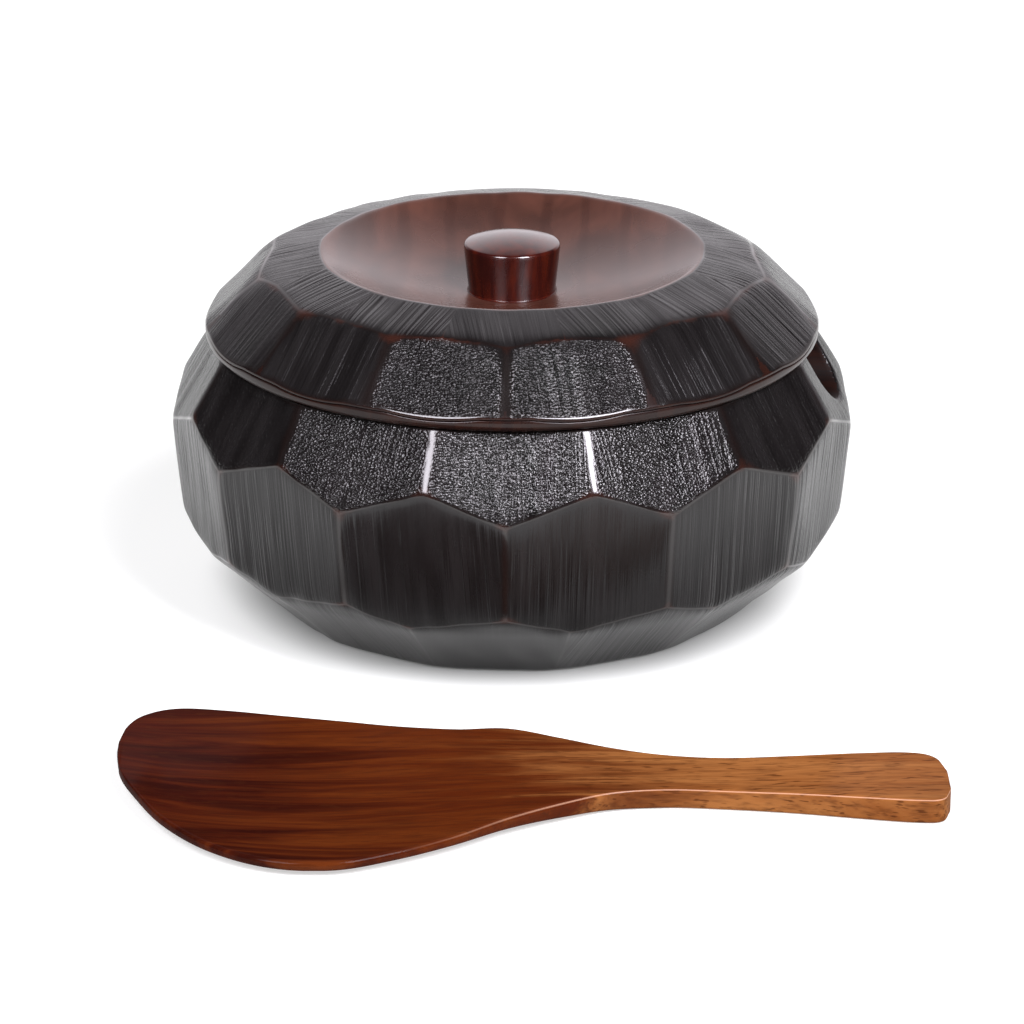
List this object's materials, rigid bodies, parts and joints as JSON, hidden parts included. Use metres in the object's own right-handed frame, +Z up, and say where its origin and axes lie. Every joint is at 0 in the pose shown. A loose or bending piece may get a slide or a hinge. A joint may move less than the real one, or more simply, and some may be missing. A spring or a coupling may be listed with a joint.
{
  "type": "lidded serving bowl with rice paddle",
  "caption": "Round wooden serving bowl carved in flat facets, with a dished lid and knob, a rim notch for the handle, and a separate rice paddle.",
  "frame": {"origin": "centre of the bowl's base, on the surface it stands on", "axes": "+Z up through the knob; -Y towards the front, where the paddle lies; +X to the right, towards the notch"},
  "size_m": [0.2328, 0.3175, 0.1129],
  "materials": {
    "black_lacquer": "black-brown wiped lacquer over carved grain, satin",
    "red_brown_lacquer": "smooth red-brown lacquer, glossy",
    "varnished_wood": "clear satin varnish over open-pored brown wood"
  },
  "bodies": {
    "bowl": {"bowl": "black_lacquer"},
    "lid": {"lid": "black_lacquer", "knob": "red_brown_lacquer"},
    "paddle": {"paddle": "varnished_wood"}
  },
  "joints": [
    {"name": "lid_lift", "type": "slide", "parent": "bowl", "child": "lid", "axis": [0, 0, 1], "range_m": [0, 0.08]},
    {"name": "paddle_lift", "type": "slide", "parent": "bowl", "child": "paddle", "axis": [0, 0, 1], "range_m": [0, 0.05]}
  ]
}
